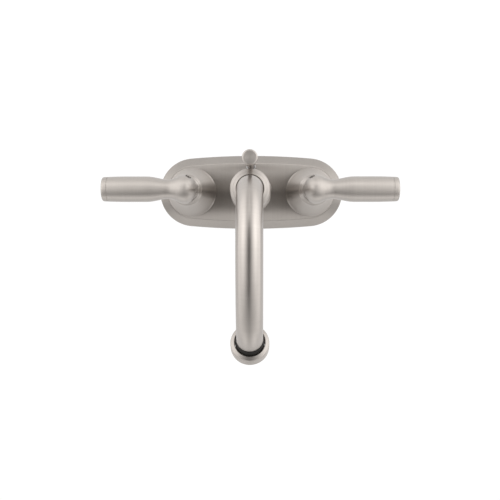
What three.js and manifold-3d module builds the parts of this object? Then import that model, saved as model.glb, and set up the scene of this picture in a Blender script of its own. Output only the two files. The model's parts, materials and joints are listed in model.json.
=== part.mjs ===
// Two-handle deck-mounted basin faucet on an oval base plate, with an arched swivel spout,
// two straight lever handles and a lift rod for the pop-up waste.
// Millimetres, +Z up, +Y towards the back, spout towards -Y.
// Origin: centre of the base gasket's underside, which is the face that rests on the deck.

import * as THREE from 'three';
import { mergeVertices } from 'three/addons/utils/BufferGeometryUtils.js';
import Module from 'manifold-3d';

const wasm = await Module();
wasm.setup();

// ---------------------------------------------------------------- driving dimensions

const GAP = 0.3;                       // clearance between neighbouring pieces
const ROUND = 24;                      // sides of the larger round pieces
const SMALL_ROUND = 16;                // sides of the smaller round pieces

const HANDLE_X = 50.8;                 // half of the 4 inch handle centres
const PLATE_TOP = 14;                  // top face of the base plate above the deck
const GASKET = { thickness: 1.5, inset: 1.5 };
const PLATE = {
  halfLength: 79.2, halfWidth: 31.7, endRadius: 29.5, bevelRun: 6.8, bevelRise: 6.5, lid: 2.4, wall: 3,
};
const GUIDE = { hole: 3.8, radius: 3.5, depth: 7, sunk: 1.6 };

const DECK = 22;                       // thickness of the deck held between gasket and washers
const SHANK = { radius: 10.3, bore: 6.5, bottom: -52, top: 2.5 };
const WASHER = { radius: 19, thickness: 2 };
const NUT = { radius: 15, height: 9, wingLength: 11, wingWidth: 5, wingAt: 16.5 };
const VALVE = { radius: 12, bore: 9.2, floor: 14, top: 31 };
const BOSS = { radius: 12.6, bore: 10, floor: 11, top: 38 };
const CROSSBAR = { width: 15, top: 10.8, channel: 2.6, channelHeight: 6.8, port: 5.5 };
const CARTRIDGE = { wall: 1.6, port: 2.2, portOffset: 4, disc: 2.5, seal: 2, flange: 3.5, aboveValve: 2.6 };
const BONNET = { acrossCorners: 31, room: 13.6, bore: 6.2, skirt: 6, lid: 2.4 };

const BELL = { foot: 20.9, footHeight: 2.2, top: 12, height: 46.5, flare: 1.7, wall: 1.7, lid: 3, bore: 6.6 };
const COLLAR = { radius: 12.5, height: 6.2 };
const LEVER = {
  axis: 64, ball: 11.2, inner: 8.6, neck: 7.4, neckAt: 13.4, grip: 9.9, tip: 9.4, length: 64.2,
};
const LEVER_STUB = { foot: 9.4, top: 8.9, step: 1.2 };
const END_CAP = { thickness: 4.2, rounding: 1.6 };
const STEM = { radius: 4.6, flange: 6.7, intoBall: 14 };
const SET_SCREW = { radius: 2, from: 5.7, to: 9.2, socket: 2.4, turnedIn: 17, raised: 21 };

const COLUMN = { foot: 17.5, footRing: 0.5, top: 15.5, height: 77, shoulder: 3.6, bore: 10.45, wall: 1.9 };
const GLAND = { wall: 1, skirt: 7, rise: 6.5, lid: 2.3 };
const TUBE = { radius: 9.9, bore: 8.2, bottom: 42 };
const ARCH = { rise: 43, apex: 123.5, crown: 119.3, crownEnd: 28, bend: 32, slant: 62 };
const SPOUT_STEM = {
  bore: 5.6, grooveDepth: 1.9, grooveHeight: 2.2, grooves: [17, 25], flange: 3.4, spigot: 12,
};
const OUTLET = { neck: 6.5, sealRadius: 11, collarRadius: 14.7, collarLength: 11.5, bore: 11.2 };
const NIPPLE = { bore: 6.2, radius: 9.2, spigot: 3.5, pastNeck: 4.5 };
const AERATOR = { radius: 8.6, washer: 1.2, rib: 1, recess: 0.9, ribGap: 1.6, screen: 0.6 };

const ROD = { y: 22.4, radius: 2.5, bottom: -78, top: 80 };
const KNOB = { radius: 5.85, sleeve: 3.6, bottom: 22, top: 95, head: 4.5 };

const degrees = THREE.MathUtils.degToRad;

// ---------------------------------------------------------------- materials

function metal(colour, roughness) {
  return new THREE.MeshStandardMaterial({ color: colour, roughness, metalness: 1 });
}

function plastic(colour, roughness) {
  return new THREE.MeshStandardMaterial({ color: colour, roughness, metalness: 0 });
}

const brushedNickel = () => metal(0xb4aca4, 0.32);
const brass = () => metal(0xb8924a, 0.35);
const steel = () => metal(0xa8abad, 0.3);
const blackRubber = () => plastic(0x111111, 0.75);
const whitePlastic = () => plastic(0xe4e2da, 0.5);
const greyPlastic = () => plastic(0x6c6f70, 0.5);
const ceramic = () => plastic(0xf0eee8, 0.2);

// ---------------------------------------------------------------- solids

// Removes triangles that collapse to a line where a profile meets its axis.
function withoutFlatTriangles(index) {
  const kept = [];
  for (let i = 0; i < index.length; i += 3) {
    const [a, b, c] = [index[i], index[i + 1], index[i + 2]];
    if (a !== b && b !== c && c !== a) kept.push(a, b, c);
  }
  return kept;
}

function signedVolume(points, index) {
  const [a, b, c] = [new THREE.Vector3(), new THREE.Vector3(), new THREE.Vector3()];
  let volume = 0;
  for (let i = 0; i < index.length; i += 3) {
    a.fromArray(points, index[i] * 3);
    b.fromArray(points, index[i + 1] * 3);
    c.fromArray(points, index[i + 2] * 3);
    volume += a.dot(b.cross(c)) / 6;
  }
  return volume;
}

// A closed mesh with merged corners, faces outwards, as a manifold solid.
function solid(geometry) {
  const bare = geometry.clone();
  bare.deleteAttribute('normal');
  bare.deleteAttribute('uv');
  const merged = mergeVertices(bare, 1e-4);
  const points = merged.attributes.position.array;
  const index = withoutFlatTriangles(merged.index.array);
  if (signedVolume(points, index) < 0) index.reverse();
  return new wasm.Manifold(new wasm.Mesh({
    numProp: 3,
    vertProperties: Float32Array.from(points),
    triVerts: Uint32Array.from(index),
  }));
}

function geometryOf(body) {
  const mesh = body.getMesh();
  const geometry = new THREE.BufferGeometry();
  geometry.setAttribute('position', new THREE.BufferAttribute(mesh.vertProperties, 3));
  geometry.setIndex(new THREE.BufferAttribute(mesh.triVerts, 1));
  geometry.computeVertexNormals();
  return geometry;
}

// A profile of [radius, height] points turned about +Z.
function turned(profile, sides = ROUND) {
  const outline = profile.map(([radius, height]) => new THREE.Vector2(Math.max(radius, 0), height));
  const geometry = new THREE.LatheGeometry(outline, sides);
  geometry.rotateX(Math.PI / 2);
  return solid(geometry);
}

function rod(radius, low, high, sides = SMALL_ROUND) {
  return turned([[0, low], [radius, low], [radius, high], [0, high]], sides);
}

function ring(bore, radius, low, high, sides = SMALL_ROUND) {
  return turned([[bore, low], [radius, low], [radius, high], [bore, high], [bore, low]], sides);
}

function oRing(radius, section, height) {
  const geometry = new THREE.TorusGeometry(radius, section, 6, SMALL_ROUND);
  geometry.translate(0, 0, height);
  return solid(geometry);
}

function block(width, depth, low, high) {
  const geometry = new THREE.BoxGeometry(width, depth, high - low);
  geometry.translate(0, 0, (low + high) / 2);
  return solid(geometry);
}

// A hexagonal or many-sided prism between two heights.
function prism(acrossCorners, low, high, sides = 6) {
  return rod(acrossCorners / 2, low, high, sides);
}

function arc(centre, radius, from, to, steps) {
  const points = [];
  for (let i = 0; i <= steps; i += 1) {
    const angle = degrees(from + ((to - from) * i) / steps);
    points.push([centre[0] + radius * Math.cos(angle), centre[1] + radius * Math.sin(angle)]);
  }
  return points;
}

// ---------------------------------------------------------------- scene graph

const faucet = new THREE.Group();

function add(parent, name, body, material) {
  const mesh = new THREE.Mesh(geometryOf(body), material);
  mesh.name = name;
  parent.add(mesh);
  return mesh;
}

function groupAt(x, y, z) {
  const group = new THREE.Group();
  group.position.set(x, y, z);
  faucet.add(group);
  return group;
}

// ---------------------------------------------------------------- base plate and gasket

// The plate's oval: two end arcs joined by slightly bowed long sides, drawn at an inset.
function plateOutline(inset) {
  const { halfLength, halfWidth, endRadius } = PLATE;
  const endCentre = halfLength - endRadius;
  const sideRadius = (endCentre ** 2 + halfWidth ** 2 - endRadius ** 2) / (2 * (halfWidth - endRadius));
  const join = Math.atan2(sideRadius - halfWidth, endCentre);
  const shape = new THREE.Shape();
  shape.absarc(endCentre, 0, endRadius - inset, -join, join, false);
  shape.absarc(0, halfWidth - sideRadius, sideRadius - inset, join, Math.PI - join, false);
  shape.absarc(-endCentre, 0, endRadius - inset, Math.PI - join, Math.PI + join, false);
  shape.absarc(0, sideRadius - halfWidth, sideRadius - inset, Math.PI + join, 2 * Math.PI - join, false);
  return shape;
}

function ovalSlab(inset, low, high) {
  const slab = new THREE.ExtrudeGeometry(plateOutline(inset), {
    depth: high - low,
    bevelEnabled: false,
    curveSegments: 6,
  });
  slab.translate(0, 0, low);
  return solid(slab);
}

function bevelledOval() {
  const { bevelRun, bevelRise } = PLATE;
  const wallBelow = 14;
  const slab = new THREE.ExtrudeGeometry(plateOutline(bevelRun), {
    depth: wallBelow,
    bevelEnabled: true,
    bevelThickness: bevelRise,
    bevelSize: bevelRun,
    bevelSegments: 1,
    curveSegments: 6,
  });
  slab.translate(0, 0, PLATE_TOP - bevelRise - wallBelow);
  return solid(slab).subtract(block(200, 100, -60, GASKET.thickness));
}

function plateHoles(low, high, clearance) {
  const { radius } = VALVE;
  return rod(radius + clearance, low, high, ROUND).translate(HANDLE_X, 0, 0)
    .add(rod(radius + clearance, low, high, ROUND).translate(-HANDLE_X, 0, 0))
    .add(rod(BOSS.radius + clearance, low, high, ROUND));
}

function makeBase() {
  const { lid, wall, bevelRun, bevelRise } = PLATE;
  const cavity = ovalSlab(wall, 0, PLATE_TOP - bevelRise)
    .add(ovalSlab(bevelRun + wall, 0, PLATE_TOP - lid));
  const guideHole = rod(GUIDE.hole, -1, PLATE_TOP + 1).translate(0, ROD.y, 0);
  const plate = bevelledOval()
    .subtract(cavity)
    .subtract(plateHoles(0, PLATE_TOP + 1, GAP))
    .subtract(guideHole);
  add(faucet, 'base_plate', plate, brushedNickel());

  const shankHole = rod(SHANK.radius + GAP, -1, PLATE_TOP, ROUND);
  const gasket = ovalSlab(GASKET.inset, 0, GASKET.thickness - GAP)
    .subtract(shankHole.translate(HANDLE_X, 0, 0))
    .subtract(shankHole.translate(-HANDLE_X, 0, 0))
    .subtract(guideHole);
  add(faucet, 'base_gasket', gasket, blackRubber());
}

// ---------------------------------------------------------------- waterway casting

// One casting: two valve bodies and the spout boss, joined by a cross bar with a water channel.
function makeWaterway() {
  const barLow = SHANK.top + GAP;
  const { width, top, channelHeight, port } = CROSSBAR;
  const channel = new THREE.CylinderGeometry(CROSSBAR.channel, CROSSBAR.channel, 2 * HANDLE_X, 12);
  channel.rotateZ(Math.PI / 2);
  channel.translate(0, 0, channelHeight);
  let casting = block(2 * HANDLE_X, width, barLow, top)
    .add(rod(BOSS.radius, barLow, BOSS.top, ROUND));
  for (const side of [-1, 1]) {
    casting = casting.add(rod(VALVE.radius, barLow, VALVE.top, ROUND).translate(side * HANDLE_X, 0, 0));
  }
  casting = casting.subtract(solid(channel))
    .subtract(rod(BOSS.bore, BOSS.floor, BOSS.top + 1, ROUND))
    .subtract(rod(port, channelHeight, BOSS.floor + 1));
  for (const side of [-1, 1]) {
    const bore = rod(VALVE.bore, VALVE.floor, VALVE.top + 1, ROUND)
      .add(rod(port, barLow - 1, VALVE.floor + 1));
    casting = casting.subtract(bore.translate(side * HANDLE_X, 0, 0));
  }
  add(faucet, 'waterway_body', casting, brass());
}

// ---------------------------------------------------------------- under the deck

function makeMounting(side, suffix) {
  const group = groupAt(side * HANDLE_X, 0, 0);
  const { radius, bore, bottom, top } = SHANK;
  add(group, `shank_${suffix}`, ring(bore, radius, bottom, top, ROUND), brass());

  const washerTop = -DECK;
  const washerLow = washerTop - WASHER.thickness;
  const washer = ring(radius + GAP, WASHER.radius, washerLow, washerTop, ROUND);
  add(group, `mounting_washer_${suffix}`, washer, steel());

  const nutTop = washerLow - GAP;
  const nutLow = nutTop - NUT.height;
  let nut = rod(NUT.radius, nutLow, nutTop, ROUND);
  for (const angle of [0, 90, 180, 270]) {
    const wing = block(NUT.wingLength, NUT.wingWidth, nutLow, nutTop);
    nut = nut.add(wing.translate(NUT.wingAt, 0, 0).rotate([0, 0, angle]));
  }
  nut = nut.subtract(rod(radius + GAP, nutLow - 1, nutTop + 1, ROUND));
  add(group, `mounting_nut_${suffix}`, nut, greyPlastic());
}

// ---------------------------------------------------------------- valve cartridge

function makeCartridge(side, suffix) {
  const group = groupAt(side * HANDLE_X, 0, 0);
  const { wall, port, portOffset, disc, seal, flange, aboveValve } = CARTRIDGE;
  const sealLow = VALVE.floor + GAP;
  const sealHigh = sealLow + seal;
  const shellRadius = VALVE.bore - GAP;
  const shellBore = shellRadius - wall;
  const seatSeal = ring(CROSSBAR.port + 0.1, shellRadius, sealLow, sealHigh);
  add(group, `seat_seal_${suffix}`, seatSeal, blackRubber());

  const discRadius = shellBore - GAP;
  const fixedLow = sealHigh + GAP;
  const fixedHigh = fixedLow + disc;
  const portHole = (low, high) => rod(port, low - 1, high + 1).translate(0, portOffset, 0);
  const fixedDisc = rod(discRadius, fixedLow, fixedHigh).subtract(portHole(fixedLow, fixedHigh));
  add(group, `fixed_disc_${suffix}`, fixedDisc, ceramic());

  const movingLow = fixedHigh + GAP;
  const movingHigh = movingLow + disc;
  const movingDisc = rod(discRadius, movingLow, movingHigh).subtract(portHole(movingLow, movingHigh));
  add(group, `moving_disc_${suffix}`, movingDisc, ceramic());

  const flangeLow = movingHigh + GAP;
  const flangeHigh = flangeLow + flange;
  const stemTop = PLATE_TOP + LEVER.axis - LEVER.ball + STEM.intoBall;
  const shellTop = VALVE.top + aboveValve;
  const stem = turned([
    [0, flangeLow], [STEM.flange, flangeLow], [STEM.flange, flangeHigh], [STEM.radius, flangeHigh],
    [STEM.radius, stemTop], [0, stemTop],
  ], SMALL_ROUND);
  add(group, `cartridge_stem_${suffix}`, stem, brass());

  const shell = turned([
    [shellBore, sealHigh + GAP], [shellRadius, sealHigh + GAP], [shellRadius, shellTop],
    [STEM.radius + GAP, shellTop], [STEM.radius + GAP, flangeHigh + GAP],
    [shellBore, flangeHigh + GAP], [shellBore, sealHigh + GAP],
  ], SMALL_ROUND);
  add(group, `cartridge_body_${suffix}`, shell, whitePlastic());

  const nutLow = VALVE.top - BONNET.skirt;
  const nutTop = bonnetTop();
  const nut = prism(BONNET.acrossCorners, nutLow, nutTop)
    .intersect(rod(BONNET.room, nutLow - 1, nutTop + 1, ROUND))
    .subtract(rod(VALVE.radius + GAP, nutLow - 1, shellTop + GAP, ROUND))
    .subtract(rod(BONNET.bore, nutLow, nutTop + 1));
  add(group, `bonnet_nut_${suffix}`, nut, brass());
}

function bonnetTop() {
  return VALVE.top + CARTRIDGE.aboveValve + GAP + BONNET.lid;
}

// ---------------------------------------------------------------- handle trim

// Outer radius of the bell at a height above the plate.
function bellRadius(height) {
  const rise = Math.max(0, (height - BELL.footHeight) / (BELL.height - BELL.footHeight));
  const edge = BELL.foot - 0.7;
  return BELL.top + (edge - BELL.top) * (1 - rise) ** BELL.flare;
}

function bellProfile(inset, low, high, steps) {
  const points = [];
  for (let i = 0; i <= steps; i += 1) {
    const height = low + ((high - low) * i) / steps;
    points.push([bellRadius(height) - inset, PLATE_TOP + height]);
  }
  return points;
}

function makeBell(side, suffix) {
  const group = groupAt(side * HANDLE_X, 0, 0);
  const low = PLATE_TOP + GAP;
  const { foot, footHeight, height, wall, lid } = BELL;
  const outside = bellProfile(0, footHeight, height, 7);
  const innerReach = height - lid;
  const bell = turned([
    [0, low], [foot - 0.3, low], [foot, low + 0.4], [foot, PLATE_TOP + footHeight - 0.7],
    ...outside, [0, PLATE_TOP + height],
  ]);
  const inside = bellProfile(wall, footHeight, innerReach, 4);
  const hollow = turned([
    [0, low - 1], [foot - wall - 0.7, low - 1],
    ...inside, [0, PLATE_TOP + innerReach],
  ]);
  const bore = rod(BELL.bore, low, PLATE_TOP + height + 1);
  const nutRoom = rod(BONNET.room + GAP, low - 1, bonnetTop() + GAP, ROUND);
  const shell = bell.subtract(hollow).subtract(bore).subtract(nutRoom);
  add(group, `handle_bell_${suffix}`, shell, brushedNickel());
}

function makeCollar(side, suffix) {
  const group = groupAt(side * HANDLE_X, 0, 0);
  const low = PLATE_TOP + BELL.height + GAP;
  const { radius, height } = COLLAR;
  const bead = height / 4;
  const collar = turned([
    [STEM.radius + GAP, low],
    [radius - 0.5, low],
    ...arc([radius - bead, low + bead], bead, -50, 60, 3),
    [radius - 1.3, low + 2 * bead],
    ...arc([radius - 0.9 - bead, low + 3 * bead], bead, -40, 80, 3),
    [radius - 2.6, low + height],
    [STEM.radius + GAP, low + height],
    [STEM.radius + GAP, low],
  ], ROUND);
  add(group, `handle_collar_${suffix}`, collar, brushedNickel());
}

// Radius of the lever at a distance from the handle's own axis, beyond its ball.
function leverRadius(reach) {
  const { ball, neck, neckAt, grip, tip, length } = LEVER;
  const leave = 6.4;
  const leaveRadius = Math.sqrt(ball ** 2 - leave ** 2);
  const gripAt = 30;
  const gripEnd = 47;
  const smooth = (t) => t * t * (3 - 2 * t);
  if (reach < leave) return Math.sqrt(Math.max(0, ball ** 2 - reach ** 2));
  if (reach < neckAt) {
    const t = (reach - leave) / (neckAt - leave);
    return leaveRadius + (neck - leaveRadius) * Math.sin((t * Math.PI) / 2);
  }
  if (reach < gripAt) {
    const t = (reach - neckAt) / (gripAt - neckAt);
    return neck + (grip - neck) * (0.35 * smooth(t) + 0.65 * Math.sin((t * Math.PI) / 2) ** 1.35);
  }
  if (reach < gripEnd) return grip;
  return grip + (tip - grip) * ((reach - gripEnd) / (length - gripEnd)) ** 1.6;
}

function leverProfile(from, to, steps) {
  const points = [];
  for (let i = 0; i <= steps; i += 1) {
    const reach = from + ((to - from) * i) / steps;
    points.push([leverRadius(reach), reach]);
  }
  return points;
}

// Lays a body turned about +Z along +X or -X at the lever's height.
function laidAlong(body, side) {
  return body.rotate([0, side * 90, 0]).translate(0, 0, PLATE_TOP + LEVER.axis);
}

function makeLever(side, suffix) {
  const group = groupAt(side * HANDLE_X, 0, 0);
  const { ball, length } = LEVER;
  const capFrom = length - END_CAP.thickness;
  const innerEnd = arc([0, 0], ball, -90, -3, 5)
    .map(([radius, along]) => [Math.abs(radius), (along * LEVER.inner) / ball]);
  const bar = turned([
    ...innerEnd,
    ...leverProfile(0, capFrom, 14),
    [0, capFrom],
  ], 20);
  const collarTop = PLATE_TOP + BELL.height + GAP + COLLAR.height + GAP;
  const axisHeight = PLATE_TOP + LEVER.axis;
  const stub = turned([
    [0, collarTop], [LEVER_STUB.foot, collarTop], [LEVER_STUB.top, collarTop + LEVER_STUB.step],
    [LEVER_STUB.top, axisHeight], [0, axisHeight],
  ], ROUND);
  const socket = rod(STEM.radius + GAP, collarTop - 1, axisHeight - ball + STEM.intoBall + GAP);
  const screwHole = setScrewBlank(side, SET_SCREW.radius + GAP, STEM.radius, ball + 5);
  const lever = laidAlong(bar, side).add(stub)
    .subtract(rod(30, collarTop - 30, collarTop, 8))
    .subtract(socket)
    .subtract(screwHole);
  add(group, `handle_lever_${suffix}`, lever, brushedNickel());

  const { radius, from, to } = SET_SCREW;
  const screw = setScrewBlank(side, radius, from, to)
    .subtract(intoBall(prism(SET_SCREW.socket, from + 1.5, to + 1), side));
  add(group, `handle_set_screw_${suffix}`, screw, steel());

  const capLow = capFrom + GAP;
  const edge = leverRadius(length);
  const cap = turned([
    [0, capLow], [leverRadius(capLow), capLow],
    ...arc([edge - END_CAP.rounding, length - END_CAP.rounding], END_CAP.rounding, 0, 90, 4),
    [0, length],
  ], 20);
  add(group, `lever_end_cap_${suffix}`, laidAlong(cap, side), brushedNickel());
}

// Moves a body from the Z axis into the ball, pointing backwards, a little inwards and upwards.
function intoBall(body, side) {
  const { turnedIn, raised } = SET_SCREW;
  return body.rotate([raised - 90, 0, 0])
    .rotate([0, 0, side * turnedIn])
    .translate(0, 0, PLATE_TOP + LEVER.axis);
}

function setScrewBlank(side, radius, from, to) {
  return intoBall(rod(radius, from, to), side);
}

// ---------------------------------------------------------------- spout column

function makeColumn() {
  const { foot, footRing, top, height, shoulder, bore, wall } = COLUMN;
  const low = PLATE_TOP + GAP;
  const high = PLATE_TOP + height;
  const column = turned([
    [foot - wall, low],
    [foot + footRing, low],
    [foot + footRing, low + 1.4],
    [foot, low + 1.9],
    [top, high - shoulder],
    [top - 0.5, high - 0.72 * shoulder],
    [top - 2.3, high - 0.34 * shoulder],
    [bore + 0.6, high + 0.1],
    [bore, high - 0.5],
    [bore, high - 4],
    [top - wall, high - 4.6],
    [foot - wall, low],
  ]);
  add(faucet, 'spout_column', column, brushedNickel());

  const bush = ring(TUBE.radius + GAP, top - wall - GAP, high - 13, high - 5, ROUND);
  add(faucet, 'swivel_bush', bush, whitePlastic());

  const glandLow = BOSS.top - GLAND.skirt;
  const glandTop = BOSS.top + GLAND.rise;
  const glandBore = BOSS.radius + GAP;
  const glandRadius = glandBore + GLAND.wall;
  const gland = turned([
    [glandBore, glandLow],
    [glandRadius, glandLow],
    [glandRadius, glandTop],
    [TUBE.radius + 2, glandTop],
    [TUBE.radius + 2, glandTop - GLAND.lid],
    [glandBore, glandTop - GLAND.lid],
    [glandBore, glandLow],
  ]);
  add(faucet, 'spout_gland_nut', gland, brass());
}

// ---------------------------------------------------------------- spout

// The tube's centre line in the plane X = 0: riser, rising arc, long crown and end bend.
class ArchCurve extends THREE.Curve {
  constructor() {
    super();
    this.stretches = archStretches();
    this.total = this.stretches.reduce((sum, stretch) => sum + stretch.length, 0);
  }

  getPoint(t, target = new THREE.Vector3()) {
    let left = t * this.total;
    for (const stretch of this.stretches) {
      const last = stretch === this.stretches[this.stretches.length - 1];
      if (left <= stretch.length || last) return stretch.at(left, target);
      left -= stretch.length;
    }
    return target;
  }
}

// A stretch of arc from a slope to a slope; slopes are degrees above the forward direction.
function arcStretch(start, radius, fromSlope, toSlope) {
  const centre = {
    reach: start.reach + radius * Math.sin(degrees(fromSlope)),
    height: start.height - radius * Math.cos(degrees(fromSlope)),
  };
  const placed = (slope) => ({
    reach: centre.reach - radius * Math.sin(degrees(slope)),
    height: centre.height + radius * Math.cos(degrees(slope)),
  });
  return {
    length: radius * degrees(fromSlope - toSlope),
    end: placed(toSlope),
    at(distance, target) {
      const spot = placed(fromSlope - THREE.MathUtils.radToDeg(distance / radius));
      return target.set(0, -spot.reach, spot.height);
    },
  };
}

function archStretches() {
  const riserTop = PLATE_TOP + ARCH.apex - ARCH.rise;
  const riser = {
    length: riserTop - TUBE.bottom,
    at: (distance, target) => target.set(0, 0, TUBE.bottom + distance),
  };
  const rise = arcStretch({ reach: 0, height: riserTop }, ARCH.rise, 90, 0);
  const crown = arcStretch(rise.end, ARCH.crown, 0, -ARCH.crownEnd);
  const bend = arcStretch(crown.end, ARCH.bend, -ARCH.crownEnd, -ARCH.slant);
  return [riser, rise, crown, bend];
}

function tubeAlong(curve, radius, bore, steps) {
  const section = new THREE.Shape();
  section.absarc(0, 0, radius, 0, 2 * Math.PI, false);
  const hole = new THREE.Path();
  hole.absarc(0, 0, bore, 0, 2 * Math.PI, true);
  section.holes.push(hole);
  const tube = new THREE.ExtrudeGeometry(section, { steps, extrudePath: curve, curveSegments: 8 });
  return solid(tube);
}

// Places a body turned about +Z on the outlet's axis, its own +Z pointing out of the spout.
function onOutlet(body) {
  const stretches = archStretches();
  const { end } = stretches[stretches.length - 1];
  return body.rotate([180 - (90 - ARCH.slant), 0, 0]).translate(0, -end.reach, end.height);
}

// The stem turns inside the boss, sealed by two O-rings, and carries the tube on its spigot.
function makeSpout() {
  const tube = tubeAlong(new ArchCurve(), TUBE.radius, TUBE.bore, 32);
  add(faucet, 'spout_tube', tube, brushedNickel());

  const { bore, grooveDepth, grooveHeight, grooves } = SPOUT_STEM;
  const radius = BOSS.bore - GAP;
  const groove = radius - grooveDepth;
  const low = BOSS.floor + GAP;
  const profile = [[bore, low], [radius, low]];
  for (const height of grooves) {
    profile.push([radius, height], [groove, height]);
    profile.push([groove, height + grooveHeight], [radius, height + grooveHeight]);
  }
  const flange = BOSS.radius - 0.2;
  const flangeLow = BOSS.top + GAP;
  const flangeHigh = flangeLow + SPOUT_STEM.flange;
  const spigot = TUBE.bore - GAP;
  const spigotTop = TUBE.bottom + SPOUT_STEM.spigot;
  profile.push([radius, flangeLow], [flange, flangeLow], [flange, flangeHigh], [spigot, flangeHigh]);
  profile.push([spigot, spigotTop], [bore, spigotTop], [bore, low]);
  add(faucet, 'spout_stem', turned(profile), brass());

  const section = 0.75;
  grooves.forEach((height, i) => {
    const seal = oRing(groove + GAP + section, section, height + grooveHeight / 2);
    add(faucet, `spout_o_ring_${i + 1}`, seal, blackRubber());
  });
}

function makeOutlet() {
  const { neck, sealRadius, collarRadius, collarLength, bore } = OUTLET;
  const spigot = TUBE.bore - 2 * GAP;
  const nippleEnd = neck + NIPPLE.pastNeck;
  const nipple = turned([
    [NIPPLE.bore, -NIPPLE.spigot], [spigot, -NIPPLE.spigot], [spigot, GAP], [NIPPLE.radius, GAP],
    [NIPPLE.radius, nippleEnd], [NIPPLE.bore, nippleEnd], [NIPPLE.bore, -NIPPLE.spigot],
  ]);
  add(faucet, 'outlet_nipple', onOutlet(nipple), brass());

  const sealLow = 0.5;
  const sealBore = NIPPLE.radius + GAP;
  const seal = turned([
    [sealBore, sealLow], [TUBE.radius, sealLow], [TUBE.radius + 0.6, sealLow + 1.6],
    [sealRadius, neck - 0.8], [sealRadius, neck + 1.2], [sealBore, neck + 1.2],
    [sealBore, sealLow],
  ]);
  add(faucet, 'outlet_seal_ring', onOutlet(seal), blackRubber());

  const rim = neck - 0.6;
  const foot = rim + collarLength;
  const collar = turned([
    [sealRadius + GAP, rim],
    [sealRadius + 0.9, rim - 0.3],
    ...arc([collarRadius - 1.6, rim + 1.7], 1.6, -70, 0, 4),
    [collarRadius, foot - 0.8],
    [collarRadius - 0.8, foot],
    [bore + 0.5, foot],
    [bore, foot - 0.6],
    [bore, neck + 1.5],
    [sealRadius + GAP, neck + 1.5],
    [sealRadius + GAP, rim],
  ]);
  add(faucet, 'outlet_collar', onOutlet(collar), brushedNickel());
  makeAerator(nippleEnd + GAP, foot - AERATOR.recess);
}

// Washer, ribbed insert and screen, stacked inside the collar between two heights on its axis.
function makeAerator(low, high) {
  const { radius, washer, rib, ribGap, screen } = AERATOR;
  const washerRing = ring(NIPPLE.bore, OUTLET.bore - 1.5, low, low + washer);
  add(faucet, 'aerator_washer', onOutlet(washerRing), blackRubber());

  const housingLow = low + washer + GAP;
  let housing = ring(radius, OUTLET.bore - GAP, housingLow, high, ROUND);
  for (const angle of [0, 60, 120]) {
    housing = housing.add(block(2 * radius + 1.2, rib, housingLow, high - ribGap).rotate([0, 0, angle]));
  }
  add(faucet, 'aerator_insert', onOutlet(housing), whitePlastic());

  const screenLow = high - ribGap + GAP;
  const disc = rod(radius - GAP, screenLow, screenLow + screen);
  add(faucet, 'aerator_screen', onOutlet(disc), steel());
}

// ---------------------------------------------------------------- lift rod

function makeLiftRod() {
  const group = groupAt(0, ROD.y, 0);
  const guide = ring(ROD.radius + GAP, GUIDE.radius, PLATE_TOP - GUIDE.depth, PLATE_TOP - GUIDE.sunk);
  add(group, 'lift_rod_guide', guide, greyPlastic());

  const rodTop = PLATE_TOP + ROD.top;
  const bar = turned([
    [0, ROD.bottom], [ROD.radius - 0.6, ROD.bottom], [ROD.radius, ROD.bottom + 0.8],
    [ROD.radius, rodTop], [0, rodTop],
  ], SMALL_ROUND);
  add(group, 'lift_rod', bar, brushedNickel());

  const { radius, sleeve, bottom, top, head } = KNOB;
  const low = PLATE_TOP + bottom;
  const high = PLATE_TOP + top;
  const blindTop = rodTop + GAP;
  const knob = turned([
    [0, blindTop], [ROD.radius + GAP, blindTop], [ROD.radius + GAP, low], [sleeve - 0.3, low],
    [sleeve, low + 0.5], [sleeve, high - head - 3],
    [radius - 1, high - head], [radius, high - head + 1], [radius, high - 1],
    [radius - 0.8, high], [0, high],
  ], SMALL_ROUND);
  add(group, 'lift_rod_knob', knob, brushedNickel());
}

// ---------------------------------------------------------------- assembly

makeBase();
makeWaterway();
for (const [side, suffix] of [[-1, 'left'], [1, 'right']]) {
  makeMounting(side, suffix);
  makeCartridge(side, suffix);
  makeBell(side, suffix);
  makeCollar(side, suffix);
  makeLever(side, suffix);
}
makeColumn();
makeSpout();
makeOutlet();
makeLiftRod();

export default faucet;
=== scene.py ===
"""Two-handle basin faucet with an arched swivel spout, in brushed nickel, seen from above on a pale floor.

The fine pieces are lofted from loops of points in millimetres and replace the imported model's faceted ones.
"""
import json
import math

import bmesh
import bpy
from mathutils import Matrix, Vector


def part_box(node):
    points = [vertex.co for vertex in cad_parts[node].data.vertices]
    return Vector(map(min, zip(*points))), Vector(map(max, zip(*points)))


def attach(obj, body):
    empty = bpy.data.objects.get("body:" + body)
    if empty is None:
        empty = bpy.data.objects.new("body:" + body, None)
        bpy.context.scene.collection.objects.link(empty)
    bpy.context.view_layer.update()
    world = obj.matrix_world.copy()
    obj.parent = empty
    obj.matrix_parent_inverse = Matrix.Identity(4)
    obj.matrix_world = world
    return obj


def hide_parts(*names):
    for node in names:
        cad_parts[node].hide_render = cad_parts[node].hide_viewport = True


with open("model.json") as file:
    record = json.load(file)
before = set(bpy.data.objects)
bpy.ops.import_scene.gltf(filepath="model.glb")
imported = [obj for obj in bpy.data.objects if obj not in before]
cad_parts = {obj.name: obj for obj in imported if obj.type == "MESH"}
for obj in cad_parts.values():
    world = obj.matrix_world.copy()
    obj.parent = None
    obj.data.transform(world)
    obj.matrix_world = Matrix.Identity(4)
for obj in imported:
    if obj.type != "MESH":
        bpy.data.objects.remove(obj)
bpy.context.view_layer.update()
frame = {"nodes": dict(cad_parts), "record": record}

MM = 0.001


def box_mm(node):
    """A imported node's lowest and highest corners in millimetres."""
    low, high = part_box(node)
    return low / MM, high / MM


# ---------------------------------------------------------------- dimensions, in millimetres

GAP = 0.3
PLATE_TOP = box_mm("base_plate")[1].z
HANDLE_X = (box_mm("shank_right")[0].x + box_mm("shank_right")[1].x) / 2
ROD_Y = (box_mm("lift_rod")[0].y + box_mm("lift_rod")[1].y) / 2

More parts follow.
